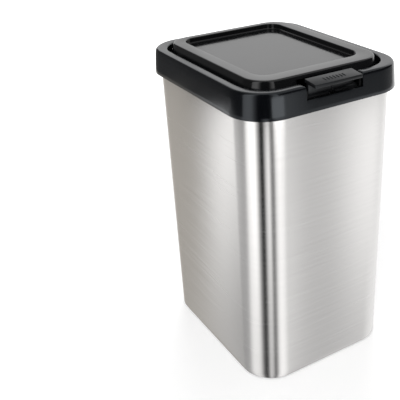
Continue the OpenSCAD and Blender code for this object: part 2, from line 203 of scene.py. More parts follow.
# A wall with an outer and an inner face, stepped through pairs of outlines; keep says which cells stay
def thickWall(stops, pairs, keep=None, bend=None, capEnd=False):
    bm = bmesh.new()
    grids = []
    for side in (0, 1):
        grid = []
        for pair in pairs:
            points = [stopPoint(pair[side], stop) for stop in stops]
            if bend:
                points = [bend(p, stop, side) for p, stop in zip(points, stops)]
            grid.append([bm.verts.new(p) for p in points])
        grids.append(grid)
    outer, inner = grids
    rows, count = len(pairs) - 1, len(stops)

    def kept(row, column):
        if row < 0 or row >= rows:
            return False
        return keep is None or keep(row, stops[column % count], stops[(column + 1) % count])

    for row in range(rows):
        for column in range(count):
            if not kept(row, column):
                continue
            nextColumn = (column + 1) % count
            for grid in grids:
                bm.faces.new((grid[row][column], grid[row][nextColumn],
                              grid[row + 1][nextColumn], grid[row + 1][column]))
            for edgeRow, beyond in ((row, row - 1), (row + 1, row + 1)):
                if not kept(beyond, column) and not (capEnd and edgeRow == rows):
                    bm.faces.new((outer[edgeRow][column], outer[edgeRow][nextColumn],
                                  inner[edgeRow][nextColumn], inner[edgeRow][column]))
            for edgeColumn, beyond in ((column, column - 1), (nextColumn, column + 1)):
                if not kept(row, beyond):
                    bm.faces.new((outer[row][edgeColumn], outer[row + 1][edgeColumn],
                                  inner[row + 1][edgeColumn], inner[row][edgeColumn]))
    if capEnd:
        for grid in grids:
            bm.faces.new(grid[rows])
    weld(bm)
    bmesh.ops.delete(bm, geom=[v for v in bm.verts if not v.link_faces], context="VERTS")
    faceOutward(bm)
    return bm


# The first row of outlines at a height
def rowAt(pairs, z):
    return next(i for i, pair in enumerate(pairs) if pair[0][3] == z)


# Whether a cell lies in the front, within half a width of its middle
def inFront(stop, following, half):
    return stop[0] == following[0] == "front" and max(abs(stop[1]), abs(following[1])) <= half + 0.01


def spread(low, high, steps):
    return [low + (high - low) * i / steps for i in range(steps + 1)]


def arc(steps, start=0, end=90):
    return [math.radians(angle) for angle in spread(start, end, steps)]


# Flat outline drawn as (y, z), from one x to another
def sidePrism(name, x0, x1, points, material):
    bm = bmesh.new()
    ends = [[bm.verts.new((x, y, z)) for y, z in points] for x in (x0, x1)]
    for i in range(len(points)):
        j = (i + 1) % len(points)
        bm.faces.new((ends[0][i], ends[0][j], ends[1][j], ends[1][i]))
    for end in ends:
        bm.faces.new(end)
    faceOutward(bm)
    return newObject(name, bm, material)


def block(name, low, high, material):
    (x0, y0, z0), (x1, y1, z1) = low, high
    return sidePrism(name, x0, x1, [(y0, z0), (y1, z0), (y1, z1), (y0, z1)], material)


# Turned piece: (radius, height) points about a line through place along axis
def turned(name, points, place, axis, material, steps=40):
    bm = bmesh.new()
    aim = Vector((0, 0, 1)).rotation_difference(Vector(axis)).to_matrix()
    rings = []
    for radius, height in points:
        turns = [2 * math.pi * i / steps for i in range(steps if radius else 1)]
        spots = [Vector((radius * math.cos(t), radius * math.sin(t), height)) for t in turns]
        rings.append([bm.verts.new(aim @ spot + Vector(place)) for spot in spots])
    for low, high in zip(rings, rings[1:]):
        for i in range(steps):
            j = (i + 1) % steps
            corners = [low[i % len(low)], low[j % len(low)], high[j % len(high)], high[i % len(high)]]
            bm.faces.new(list(dict.fromkeys(corners)))
    faceOutward(bm)
    return newObject(name, bm, material)


# Round wire through points
def wire(name, points, radius, material):
    curve = bpy.data.curves.new(name, "CURVE")
    curve.dimensions = "3D"
    curve.bevel_depth = radius * mm
    curve.bevel_resolution = 3
    curve.use_fill_caps = True
    line = curve.splines.new("POLY")
    line.points.add(len(points) - 1)
    for spot, point in zip(line.points, points):
        spot.co = (*(Vector(point) * mm), 1)
    source = addToScene(name, curve)
    mesh = finalMesh(source)
    bpy.data.objects.remove(source)
    mesh.name = name
    mesh.materials.clear()
    mesh.materials.append(material)
    smoothMesh(mesh, 50)
    return addToScene(name, mesh)


# The CAD node's own shape with its edges rounded
def softenedNode(node, name, width, material):
    bm = bmesh.new()
    bm.from_mesh(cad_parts[node].data)
    bmesh.ops.scale(bm, vec=(1 / mm, 1 / mm, 1 / mm), verts=bm.verts)
    weld(bm)
    bmesh.ops.dissolve_limit(bm, angle_limit=math.radians(1.5), verts=bm.verts, edges=bm.edges)
    return bevelEdges(newObject(name, bm, material), width, 2, 35)


def addNode(tree, kind, inputs=None, **settings):
    node = tree.nodes.new(kind)
    for key, value in settings.items():
        setattr(node, key, value)
    for key, value in (inputs or {}).items():
        if isinstance(value, bpy.types.NodeSocket):
            tree.links.new(value, node.inputs[key])
        else:
            node.inputs[key].default_value = value
    return node


def newSocket(tree, name, way, kind):
    return tree.interface.new_socket(name=name, in_out=way, socket_type="NodeSocket" + kind)


def buildRowTree():
    tree = bpy.data.node_groups.new("rowOfCopies", "GeometryNodeTree")
    sockets = {}
    for name, kind in (("Piece", "Geometry"), ("Count", "Int"), ("Start", "Vector"), ("Step", "Vector"),
                       ("Finish", "Material")):
        sockets[name] = newSocket(tree, name, "INPUT", kind).identifier
    newSocket(tree, "Row", "OUTPUT", "Geometry")
    entry = tree.nodes.new("NodeGroupInput").outputs
    line = addNode(tree, "GeometryNodeMeshLine",
                   {"Count": entry["Count"], "Start Location": entry["Start"], "Offset": entry["Step"]},
                   mode="OFFSET")
    copies = addNode(tree, "GeometryNodeInstanceOnPoints",
                     {"Points": line.outputs[0], "Instance": entry["Piece"]})
    real = addNode(tree, "GeometryNodeRealizeInstances", {"Geometry": copies.outputs[0]})
    finish = addNode(tree, "GeometryNodeSetMaterial",
                     {"Geometry": real.outputs[0], "Material": entry["Finish"]})
    addNode(tree, "NodeGroupOutput", {"Row": finish.outputs[0]})
    return tree, sockets


rowTree, rowSockets = buildRowTree()


def rowOfCopies(piece, count, start, step, material, smoothAngle=35):
    row = piece.modifiers.new("row", "NODES")
    row.node_group = rowTree
    row[rowSockets["Count"]] = count
    row[rowSockets["Start"]] = [v * mm for v in start]
    row[rowSockets["Step"]] = [v * mm for v in step]
    row[rowSockets["Finish"]] = material
    return applyModifiers(piece, smoothAngle)


def nodeGroup(name, inputs):
    tree = bpy.data.node_groups.new(name, "ShaderNodeTree")
    for label, kind, value in inputs:
        newSocket(tree, label, "INPUT", kind).default_value = value
    for label, kind in (("Color", "Color"), ("Roughness", "Float"), ("Height", "Float")):
        newSocket(tree, label, "OUTPUT", kind)
    return tree, tree.nodes.new("NodeGroupInput").outputs


def doMath(tree, operation, *values):
    return addNode(tree, "ShaderNodeMath", dict(enumerate(values)), operation=operation).outputs[0]


def noise(tree, where, scale, detail, roughness=0.5):
    return addNode(tree, "ShaderNodeTexNoise", {"Vector": where, "Scale": scale, "Detail": detail,
                                                "Roughness": roughness}).outputs["Fac"]


def mapRange(tree, value, low, high, start=0, end=1, interpolation="LINEAR"):
    values = {"Value": value, "From Min": low, "From Max": high, "To Min": start, "To Max": end}
    return addNode(tree, "ShaderNodeMapRange", values, interpolation_type=interpolation).outputs[0]


def ownPlace(tree):
    return addNode(tree, "ShaderNodeTexCoord").outputs["Object"]


# The tone and its strength leave the group with the roughness and the height
def closeGroup(tree, tone, strength, roughness, height):
    shaded = addNode(tree, "ShaderNodeVectorMath", {0: tone, "Scale": strength}, operation="SCALE")
    addNode(tree, "NodeGroupOutput", {"Color": shaded.outputs[0], "Roughness": roughness, "Height": height})
    return tree


# Moulded plastic: a fine skin, slow shifts of tone and sparse faint rub marks
def buildPlasticSkin():
    tree, entry = nodeGroup("plasticSkin", [
        ("Tone", "Color", (0.02, 0.02, 0.02, 1)), ("Roughness", "Float", 0.35),
        ("Skin Scale", "Float", 2500.0), ("Tone Shift", "Float", 0.25), ("Rub", "Float", 0.1)])
    where = ownPlace(tree)
    skin = noise(tree, where, entry["Skin Scale"], 2.0, 0.6)
    smear = addNode(tree, "ShaderNodeMapping", {"Vector": where, "Rotation": (0.3, 0.2, 0.7),
                                                "Scale": (900.0, 60.0, 300.0)})
    marks = mapRange(tree, noise(tree, smear.outputs[0], 1.0, 4.0), 0.62, 0.8)
    shift = doMath(tree, "SUBTRACT", noise(tree, where, 28.0, 3.0), 0.5)
    strength = doMath(tree, "MULTIPLY_ADD", shift, entry["Tone Shift"], 1.0)
    rubbed = doMath(tree, "MULTIPLY", marks, entry["Rub"])
    rough = doMath(tree, "MULTIPLY_ADD", shift, 0.12, entry["Roughness"])
    return closeGroup(tree, entry["Tone"], strength, doMath(tree, "ADD", rough, rubbed), skin)


def stretched(tree, where, by):
    return addNode(tree, "ShaderNodeVectorMath", {0: where, 1: by}, operation="MULTIPLY").outputs[0]


# Brushed or drawn metal: fine lines that run across the stretch's short axis
def buildMetalGrain():
    tree, entry = nodeGroup("metalGrain", [
        ("Tone", "Color", (0.6, 0.6, 0.6, 1)), ("Roughness", "Float", 0.3),
        ("Stretch", "Vector", (20.0, 20.0, 3500.0)), ("Line Depth", "Float", 0.1), ("Smudge", "Float", 0.05)])
    where = ownPlace(tree)
    lines = stretched(tree, where, entry["Stretch"])
    broadLines = stretched(tree, lines, (0.4, 0.4, 0.12))
    both = doMath(tree, "ADD", noise(tree, lines, 1.0, 3.0, 0.7), noise(tree, broadLines, 1.0, 2.0))
    centred = doMath(tree, "SUBTRACT", both, 1.0)
    shade = doMath(tree, "MULTIPLY_ADD", centred, entry["Line Depth"], 1.0)
    slow = doMath(tree, "SUBTRACT", noise(tree, where, 14.0, 3.0), 0.5)
    smudge = doMath(tree, "MULTIPLY_ADD", slow, entry["Smudge"], entry["Roughness"])
    rough = doMath(tree, "MULTIPLY_ADD", centred, 0.08, smudge)
    return closeGroup(tree, entry["Tone"], shade, rough, both)


plasticSkin = buildPlasticSkin()
metalGrain = buildMetalGrain()


def blankMaterial(name):
    material = bpy.data.materials.new(name)
    material.use_nodes = True
    return material, material.node_tree


def newMaterial(name, group, values, bump, **sockets):
    material, tree = blankMaterial(name)
    shader = tree.nodes["Principled BSDF"]
    effect = tree.nodes.new("ShaderNodeGroup")
    effect.node_tree = group
    for key, value in values.items():
        effect.inputs[key].default_value = value
    relief = addNode(tree, "ShaderNodeBump", {"Height": effect.outputs["Height"], "Strength": bump[0],
                                              "Distance": bump[1] * mm})
    tree.links.new(effect.outputs["Color"], shader.inputs["Base Color"])
    tree.links.new(effect.outputs["Roughness"], shader.inputs["Roughness"])
    tree.links.new(relief.outputs["Normal"], shader.inputs["Normal"])
    for key, value in sockets.items():
        shader.inputs[key.replace("_", " ")].default_value = value
    return material


finishes = {
    "steel": {"Tone": (0.604, 0.594, 0.586, 1), "Roughness": 0.25, "Line Depth": 0.10},
    "collar": {"Tone": (0.0022, 0.0025, 0.0034, 1), "Roughness": 0.17, "Rub": 0.04},
    "lid": {"Tone": (0.0046, 0.0048, 0.0052, 1), "Roughness": 0.13, "Rub": 0.05},
    "button": {"Tone": (0.0075, 0.0080, 0.0090, 1), "Roughness": 0.34, "Skin Scale": 1600.0},
    "bucket": {"Tone": (0.0050, 0.0050, 0.0054, 1), "Roughness": 0.42},
    "black": {"Tone": (0.0035, 0.0035, 0.0038, 1), "Roughness": 0.50},
    "rubber": {"Tone": (0.030, 0.030, 0.031, 1), "Roughness": 0.75, "Skin Scale": 1200.0, "Tone Shift": 0.4},
    "zinc": {"Tone": (0.62, 0.63, 0.65, 1), "Roughness": 0.26, "Stretch": (700.0, 700.0, 700.0)},
    "wire": {"Tone": (0.50, 0.50, 0.51, 1), "Roughness": 0.3, "Stretch": (900.0, 900.0, 900.0)},
    "darkWire": {"Tone": (0.045, 0.045, 0.048, 1), "Roughness": 0.45, "Stretch": (900.0, 900.0, 900.0)},
}
steelFinish = newMaterial("brushedSteel", metalGrain, finishes["steel"], (0.03, 0.02), Metallic=1.0,
                          Anisotropic=0.89, Anisotropic_Rotation=0.25)
collarFinish = newMaterial("collarBlack", plasticSkin, finishes["collar"], (0.08, 0.02),
                           Specular_IOR_Level=0.4, Specular_Tint=(0.87, 0.935, 1.0, 1))
lidFinish = newMaterial("lidBlack", plasticSkin, finishes["lid"], (0.04, 0.02), Specular_IOR_Level=0.4)
buttonFinish = newMaterial("buttonBlack", plasticSkin, finishes["button"], (0.15, 0.03),
                           Specular_IOR_Level=0.29, Specular_Tint=(0.94, 0.97, 1.0, 1))
bucketFinish = newMaterial("bucketBlack", plasticSkin, finishes["bucket"], (0.20, 0.03),
                           Specular_IOR_Level=0.35)
blackFinish = newMaterial("mouldedBlack", plasticSkin, finishes["black"], (0.20, 0.03),
                          Specular_IOR_Level=0.2)
rubberFinish = newMaterial("blackRubber", plasticSkin, finishes["rubber"], (0.4, 0.05),
                           Specular_IOR_Level=0.3)
zincFinish = newMaterial("zincPlate", metalGrain, finishes["zinc"], (0.08, 0.02), Metallic=1.0)
wireFinish = newMaterial("drawnWire", metalGrain, finishes["wire"], (0.10, 0.02), Metallic=1.0)
darkWireFinish = newMaterial("blackenedWire", metalGrain, finishes["darkWire"], (0.10, 0.02), Metallic=1.0)
print("materials built")

# The (y, z) of the lines that the lid and the button turn about
hingeAxis, buttonAxis = (80, 320), (-100.8, 311.5)

shellLow, shellHigh = nodeBox("outer_shell")
steelBody = {"corner": 36, "sheet": 0.7, "hem": 6, "crown": 1.2, "seamHalf": 0.4, "seamDepth": 0.3}


def makeShell(size):
    halfWidth, halfDepth = shellHigh.x, shellHigh.y
    foot, top = shellLow.z, shellHigh.z
    sheet, hem = size["sheet"], size["hem"]
    at = insetOutline(shellHigh, size["corner"])
    # how far the outer and the inner face of a hem are drawn in, going away from its folded edge
    folded = [(0.45, 0.95, 0), (0.12, 1.28, 0.14), (0, 2 * sheet, 0.5), (0, 2 * sheet, hem - 0.4),
              (0, 2 * sheet - 0.15, hem), (0, sheet, hem + 0.3)]
    pairs = [(at(outer, foot + away), at(inner, foot + away)) for outer, inner, away in folded]
    pairs += [(at(0, z), at(sheet, z)) for z in spread(foot + hem + 14, top - hem - 14, 10)]
    pairs += [(at(outer, top - away), at(inner, top - away)) for outer, inner, away in reversed(folded)]
    seam = size["seamHalf"]
    sides = spread(-64, 64, 16)
    fronts = spread(-46, 46, 12)
    backs = sorted([x for x in spread(-46, 46, 12) if x] + [-1.2, -seam, -seam / 2, seam / 2, seam, 1.2])
    stops = planStops(fronts, backs, sides, spread(0, 90, 24))

    # each flat face bows out a little between its bends, and the back has a butt seam
    def bow(point, stop, side):
        lift = math.sin(math.pi * (point.z - foot) / (top - foot)) ** 0.5 if foot < point.z < top else 0
        if stop[0] in ("left", "right"):
            share = 1 - (stop[1] / (halfDepth - size["corner"])) ** 2
            point.x += math.copysign(size["crown"] * share * lift, point.x)
        elif stop[0] in ("front", "back"):
            share = 1 - (stop[1] / (halfWidth - size["corner"])) ** 2
            point.y += math.copysign(size["crown"] * share * lift, point.y)
            if stop[0] == "back" and side == 0 and abs(stop[1]) <= seam / 2:
                point.y -= size["seamDepth"]
        return point

    bm = thickWall(stops, pairs, bend=bow)
    dress(newObject("steelShell", bm, steelFinish, 50), "bin_body", "steel_body", "outer_shell")


makeShell(steelBody)
print("steel body made")

bucketLow, bucketHigh = nodeBox("inner_bucket")
bucketSize = {"wall": 1.8, "inset": 5.5, "rim": 2, "rimCorner": 33, "lean": 5.3, "footRound": 7, "floor": 2.5}


def makeBucket(size):
    foot, top = bucketLow.z, bucketHigh.z
    under = top - size["rim"]
    wall, bend = size["wall"], size["footRound"]
    at = insetOutline(bucketHigh, size["rimCorner"])

    def lean(z):
        return size["inset"] + size["lean"] * (top - z) / (top - foot - bend)

    pairs = [(at(0.3, under + 0.35), at(0.3, top - 0.35)), (at(0.45, under + 0.1), at(0.45, top - 0.1)),
             (at(0.8, under), at(0.8, top)), (at(4.3, under), at(5.6, top)),
             (at(4.9, under - 0.1), at(6.5, top - 0.2)), (at(5.3, under - 0.4), at(7.0, top - 0.7)),
             (at(lean(under - 1), under - 1), at(lean(top) + wall, top - 1.6))]
    for z in spread(under - 12, foot + bend, 12):
        pairs.append((at(lean(z), z), at(lean(z) + wall, z + 0.2)))
    start = lean(foot + bend)
    for t in arc(7)[1:]:
        outer = at(start + bend * (1 - math.cos(t)), foot + bend * (1 - math.sin(t)))
        inner = at(start + wall + (bend - wall) * (1 - math.cos(t)),
                   foot + size["floor"] + (bend - size["floor"]) * (1 - math.sin(t)))
        pairs.append((outer, inner))
    pairs.append((at(26, foot), at(26, foot + size["floor"])))
    pairs.append((at(28, foot + 0.5), at(28, foot + size["floor"] + 0.5)))
    stops = planStops(spread(-42, 42, 8), spread(-42, 42, 8), spread(-60, 60, 10), spread(0, 90, 16))
    bm = thickWall(stops, pairs, capEnd=True)
    dress(newObject("innerBucket", bm, bucketFinish, 50), "bucket", "bucket_plastic", "inner_bucket")


makeBucket(bucketSize)
print("bucket made")

collarLow, collarHigh = nodeBox("top_collar")
collarSize = {
    "corner": 38, "lean": 2.2, "edgeRound": 3, "wall": 2.5, "border": 12, "openingCorner": 33.5,
    "innerWall": 2.25, "innerFoot": 307, "slotHalf": 32, "slotDrop": 13, "lip": 2.5, "innerEdge": 1.1,
}


def makeCollar(size):
    halfWidth, halfDepth = collarHigh.x, collarHigh.y
    foot, top = collarLow.z, collarHigh.z
    slotFoot = top - size["slotDrop"]
    wall, edge, thin = size["wall"], size["edgeRound"], size["innerWall"]
    at = insetOutline(collarHigh, size["corner"])

    def opening(out, z):
        b = size["border"] - out
        return outline(halfWidth - b, halfDepth - b, size["openingCorner"] + out, z)

    def lean(z):
        return size["lean"] * (z - foot) / (top - foot)

    pairs = [(at(0.5, foot), at(wall - 0.5, foot)), (at(0.14, foot + 0.14), at(wall - 0.14, foot + 0.14)),
             (at(0.04, foot + 0.5), at(wall, foot + 0.5))]
    for z in (foot + 4, foot + 8, slotFoot, slotFoot + 4, top - edge - 2):
        pairs.append((at(lean(z), z), at(lean(z) + wall, z)))
    middle, within = size["lean"] + edge, edge - wall
    for t in arc(7, 5, 90):
        pairs.append((at(middle - edge * math.cos(t), top - edge + edge * math.sin(t)),
                      at(middle - within * math.cos(t), top - edge + within * math.sin(t))))
    pairs.append((at(middle + 1.5, top), at(middle + 1.5, top - wall)))
    inner = size["innerEdge"]
    for t in arc(5):
        pairs.append((opening(inner * (1 - math.sin(t)), top - inner * (1 - math.cos(t))),
                      opening(thin + 0.4 * (1 - math.sin(t)), top - wall - 0.4 * (1 - math.cos(t)))))
    innerFoot = size["innerFoot"]
    for z in (top - 6, slotFoot, innerFoot + 0.5):
        pairs.append((opening(0, z), opening(thin, z)))
    pairs += [(opening(0.14, innerFoot + 0.14), opening(thin - 0.14, innerFoot + 0.14)),
              (opening(0.5, innerFoot), opening(thin - 0.5, innerFoot))]
    slotHalf, lip = size["slotHalf"], size["lip"]
    lipStops = [slotHalf + lip * (1 - math.cos(t)) for t in arc(4)]
    fronts = sorted([-x for x in lipStops] + lipStops + [-42, -38, -16, 0, 16, 38, 42])
    stops = planStops(fronts, spread(-42, 42, 6), spread(-60, 60, 8), spread(0, 90, 20))
    slotRow = rowAt(pairs, slotFoot)

    # across the slot only the band below it is left
    def keep(row, stop, following):
        return row < slotRow or not inFront(stop, following, slotHalf)

    # the top rolls down into the slot at both of its ends
    def rollLip(point, stop, side):
        if stop[0] == "front" and slotHalf - 0.01 <= abs(stop[1]) <= slotHalf + lip:
            along = 1 - (abs(stop[1]) - slotHalf) / lip
            limit = top - lip + lip * math.sqrt(max(0, 1 - along * along)) - (1.3 if side else 0)
            point.z = min(point.z, limit)
        return point

    bm = thickWall(stops, pairs, keep, rollLip)
    shell = newObject("collarShell", bm, collarFinish, 50)
    return bevelEdges(shell, 0.3, 2, 55)


collarParts = {
    "ribX": 45, "ribY": 55, "ribInset": 3.3, "ribHalf": 1, "ribDepth": 1.3, "bossRadius": 3, "bossBore": 1.5,
    "latchBoss": (40, -103.6), "latchBossFoot": 312, "hingeBoss": (64.35, 310.3), "hingeBossY": (93, 103.5),
    "shelfX": 45, "shelfY": (-99, -91), "shelfZ": (312.3, 313.8), "shelfHalf": 4,
}


def collarFittings(part):
    made = []
    halfWidth, halfDepth, foot = collarHigh.x, collarHigh.y, collarLow.z
    for x in (-1, 1):
        for y in (-1, 1):
            for spotX, spotY, sizeX, sizeY in (
                    (x * part["ribX"], y * (halfDepth - part["ribInset"]), part["ribHalf"], part["ribDepth"]),
                    (x * (halfWidth - part["ribInset"]), y * part["ribY"],
                     part["ribDepth"], part["ribHalf"])):
                made.append(block("rib", (spotX - sizeX, spotY - sizeY, foot + 1),
                                  (spotX + sizeX, spotY + sizeY, foot + 7), collarFinish))
        latchX, latchY = part["latchBoss"]
        radius, bore = part["bossRadius"], part["bossBore"]
        low, high = part["latchBossFoot"], collarHigh.z - 2
        profile = [(bore, low), (radius - 0.3, low), (radius, low + 0.3), (radius, high), (0, high)]
        made.append(turned("latchBoss", profile, (x * latchX, latchY, 0), (0, 0, 1), collarFinish))
        hingeX, hingeZ = part["hingeBoss"]
        low, high = part["hingeBossY"]
        profile = [(0, low), (radius, low), (radius, high - 0.3), (radius - 0.3, high), (bore, high)]
        made.append(turned("hingeBoss", profile, (x * hingeX, 0, hingeZ), (0, 1, 0), collarFinish))
        shelfX, shelfHalf = x * part["shelfX"], part["shelfHalf"]
        low, high = zip(part["shelfY"], part["shelfZ"])
        made.append(block("shelf", (shelfX - shelfHalf, *low), (shelfX + shelfHalf, *high), collarFinish))
    return made


collar = joinPieces("topCollar", makeCollar(collarSize), *collarFittings(collarParts))
dress(collar, "top", "collar_plastic", "top_collar")
print("collar made")

lidHigh = nodeBox("lid_cover")[1]
lidSize = {
    "foot": 316, "corner": 27.8, "slope": 0.325, "edgeRound": 2.3, "flare": 3.8, "skirt": 2, "top": 2.2,
    "panelHalf": (59, 77.5), "panelMiddle": 4, "panelCorner": 15, "panelDepth": 5.5, "panelEdge": 0.9,
    "panelFillet": 1.2, "tub": 2, "notchHalf": 31.5, "notchZ": 326, "rearCut": (13, 76),
}


def makeLid(size):
    top = lidHigh.z
    foot, skirt, under = size["foot"], size["skirt"], top - size["top"]
    at = insetOutline(lidHigh, size["corner"])

    def panel(out, z):
        halfX, halfY = size["panelHalf"]
        return outline(halfX + out, halfY + out, size["panelCorner"] + out, z, size["panelMiddle"])

    def lean(z):
        return size["slope"] * (z - foot)

    pairs = [(at(0.45, foot), at(skirt - 0.45, foot)), (at(0.14, foot + 0.12), at(skirt - 0.1, foot + 0.12)),
             (at(lean(foot + 0.5), foot + 0.5), at(skirt + lean(foot + 0.5), foot + 0.5))]
    for z in (foot + 3, foot + 6, size["notchZ"]):
        pairs.append((at(lean(z), z), at(skirt + lean(z), z)))
    edge, middle = size["edgeRound"], size["flare"] + size["edgeRound"]
    for t in arc(7, 17, 90):
        share = (math.degrees(t) - 17) / 73
        pairs.append((at(middle - edge * math.cos(t), top - edge + edge * math.sin(t)),
                      at(5.7 + 0.7 * share, min(under, under - 0.6 + 1.5 * share))))
    pairs.append((at(middle + 1.5, top), at(middle + 1.8, under)))
    curl, tub = size["panelEdge"], size["tub"]
    for t in arc(5):
        pairs.append((panel(curl * (1 - math.sin(t)), top - curl * (1 - math.cos(t))),
                      panel(tub + 1.3 * (1 - math.sin(t)), under - 1.0 * (1 - math.cos(t)))))
    floor, fillet = top - size["panelDepth"], size["panelFillet"]
    below = floor - size["top"]
    pairs.append((panel(0, floor + 2.6), panel(tub, below + 3.6)))
    for t in arc(6):
        pairs.append((panel(-fillet * (1 - math.cos(t)), floor + fillet * (1 - math.sin(t))),
                      panel(tub - 2.8 * (1 - math.cos(t)), below + 2.8 * (1 - math.sin(t)))))
    pairs.append((panel(-6, floor), panel(-6, below)))
    notch = size["notchHalf"]
    fronts = sorted([-42, -37, -notch, -16, 0, 16, notch, 37, 42])
    cutLow, cutHigh = size["rearCut"]
    angles = sorted(spread(0, 90, 18) + [cutLow, cutHigh])
    stops = planStops(fronts, spread(-42, 42, 6), spread(-60, 60, 8), angles)
    notchRow = rowAt(pairs, size["notchZ"])

    # the skirt is cut away behind the button and round both hinges
    def keep(row, stop, following):
        if inFront(stop, following, notch):
            return row >= notchRow
        if stop[0] == following[0] == "corner" and stop[3] == following[3] == 1:
            low, high = stop[1] % 90, following[1] % 90 or 90
            if stop[2] == -1:
                low, high = 90 - high, 90 - low
            if cutLow - 0.01 <= low and high <= cutHigh + 0.01:
                return row >= notchRow
        return True

    bm = thickWall(stops, pairs, keep, capEnd=True)
    return bevelEdges(newObject("lidShell", bm, lidFinish, 50), 0.25, 2, 55)


lidParts = {
    "catchHalf": 12, "catchY": -95.2, "catchZ": 318, "earX": (61.6, 63.9), "earRadius": 4.2,
}


def lidFittings(part):
    under = lidHigh.z - lidSize["top"]
    y, z = part["catchY"], part["catchZ"]
    hook = sidePrism("catch", -part["catchHalf"], part["catchHalf"],
                     [(y, z), (y, z - 1.2), (y + 1.3, z - 2.5), (y + 7.2, z - 2.5), (y + 7.2, under + 0.5),
                      (y + 5.2, under + 0.5), (y + 5.2, z)], lidFinish)
    made = [bevelEdges(hook, 0.3)]
    hingeY, hingeZ = hingeAxis
    radius = part["earRadius"]
    for side in (-1, 1):
        x0, x1 = sorted(side * x for x in part["earX"])
        rounded = [(hingeY + radius * math.cos(t), hingeZ - radius * math.sin(t)) for t in arc(12, 0, 180)]
        ear = sidePrism("ear", x0, x1, rounded + [(hingeY - 8, under + 0.5), (hingeY + 6, under + 0.5)],
                        lidFinish)
        made.append(bevelEdges(ear, 0.25, 2, 50))
    return made


lid = joinPieces("lidCover", makeLid(lidSize), *lidFittings(lidParts))
dress(lid, "lid", "collar_plastic", "lid_cover")
print("lid made")

buttonFront = nodeBox("push_button")[0].y
buttonSize = {
    "halfWidth": 26.75, "back": -97, "backZ": 328, "frontZ": 326.2, "skirt": 3.4, "backSkirt": 3.8,
    "plate": 1.8, "edge": 0.75, "armHalf": 26, "armY": (-102.3, -99.3), "barrel": 3.3, "bore": 1.6,
    "barrelHalf": 28.9, "windowHalf": 3.6, "noseHalf": 11, "noseY": -95.6, "noseZ": 318.5,
}
gripRibs = {"count": 7, "pitch": 3.6, "width": 1.2, "length": 6, "fromBack": 9, "height": 0.5}


def plateZ(y):
    size, front = buttonSize, buttonFront
    return size["backZ"] + (size["frontZ"] - size["backZ"]) * (size["back"] - y) / (size["back"] - front)


def makeButtonPlate(size):
    half, back, front = size["halfWidth"], size["back"], buttonFront
    bm = bmesh.new()
    spots = {}
    for name, y, z in (("backTop", back, plateZ(back)), ("frontTop", front, plateZ(front)),
                       ("frontFoot", front, plateZ(front) - size["skirt"]),
                       ("backFoot", back, plateZ(back) - size["backSkirt"])):
        spots[name] = [bm.verts.new((x, y, z)) for x in (-half, half)]
    order = ["backTop", "frontTop", "frontFoot", "backFoot"]
    bm.faces.new((*spots["backTop"], *reversed(spots["frontTop"])))
    bm.faces.new((*spots["frontTop"], *reversed(spots["frontFoot"])))
    for side in (0, 1):
        bm.faces.new([spots[name][side] for name in order])
    faceOutward(bm)
    top = max(bm.faces, key=lambda f: f.calc_center_median().z)
    if top.normal.z < 0:
        bmesh.ops.reverse_faces(bm, faces=bm.faces)
    plate = newObject("buttonPlate", bm, buttonFinish)
    wall = plate.modifiers.new("wall", "SOLIDIFY")
    wall.thickness = size["plate"] * mm
    wall.offset = -1
    wall.use_even_offset = True
    return bevelEdges(plate, size["edge"], 4, 30, 40)


def buttonFittings(size):
    pivotY, pivotZ = buttonAxis
    low, high = size["armY"]
    arm = sidePrism("arm", -size["armHalf"], size["armHalf"],
                    [(low, pivotZ), (high, pivotZ), (high, plateZ(high) - 1), (low, plateZ(low) - 1)],
                    buttonFinish)
    noseY, noseZ = size["noseY"], size["noseZ"]
    nose = sidePrism("nose", -size["noseHalf"], size["noseHalf"],
                     [(high - 1, noseZ), (noseY, noseZ), (noseY, noseZ + 1), (high, noseZ + 5),
                      (high - 1, noseZ + 5)], buttonFinish)
    made = [bevelEdges(arm, 0.3), bevelEdges(nose, 0.25)]
    radius, bore, near, far = size["barrel"], size["bore"], size["windowHalf"], size["barrelHalf"]
    profile = [(bore, near), (radius - 0.3, near), (radius, near + 0.3), (radius, far - 0.3),
               (radius - 0.3, far), (bore, far)]
    for side in (-1, 1):
        made.append(turned("barrel", profile, (0, pivotY, pivotZ), (side, 0, 0), buttonFinish))
    return made


def makeGripRibs(rib):
    half, length = rib["width"] / 2, rib["length"] / 2
    middle = buttonSize["back"] - rib["fromBack"]
    tilt = math.atan2(plateZ(-100) - plateZ(-110), 10)
    bm = bmesh.new()
    rings = []
    for y in (-1, -0.97, -0.9, -0.75, 0.75, 0.9, 0.97, 1):
        fade = math.sqrt(max(0.0, 1 - ((abs(y) - 0.75) / 0.25) ** 2)) if abs(y) > 0.75 else 1
        fade = max(fade, 0.25)
        rings.append([bm.verts.new((half * fade * math.cos(t), y * length,
                                    rib["height"] * fade * math.sin(t) if math.sin(t) > 0 else -0.3))
                      for t in arc(12, -30, 210)])
    for one, two in zip(rings, rings[1:]):
        for i in range(len(one)):
            j = (i + 1) % len(one)
            bm.faces.new((one[i], one[j], two[j], two[i]))
    for ring in (rings[0], rings[-1]):
        bm.faces.new(ring)
    faceOutward(bm)
    bmesh.ops.rotate(bm, matrix=Matrix.Rotation(tilt, 3, "X"), verts=bm.verts)
    bmesh.ops.translate(bm, vec=(0, middle, plateZ(middle)), verts=bm.verts)
    ribs = newObject("gripRibs", bm, buttonFinish)
    start = -(rib["count"] - 1) / 2 * rib["pitch"]
    return rowOfCopies(ribs, rib["count"], (start, 0, 0), (rib["pitch"], 0, 0), buttonFinish, 50)


button = joinPieces("pushButton", makeButtonPlate(buttonSize), *buttonFittings(buttonSize),
                    makeGripRibs(gripRibs))
dress(button, "button", "button_plastic", "push_button")
print("button made")

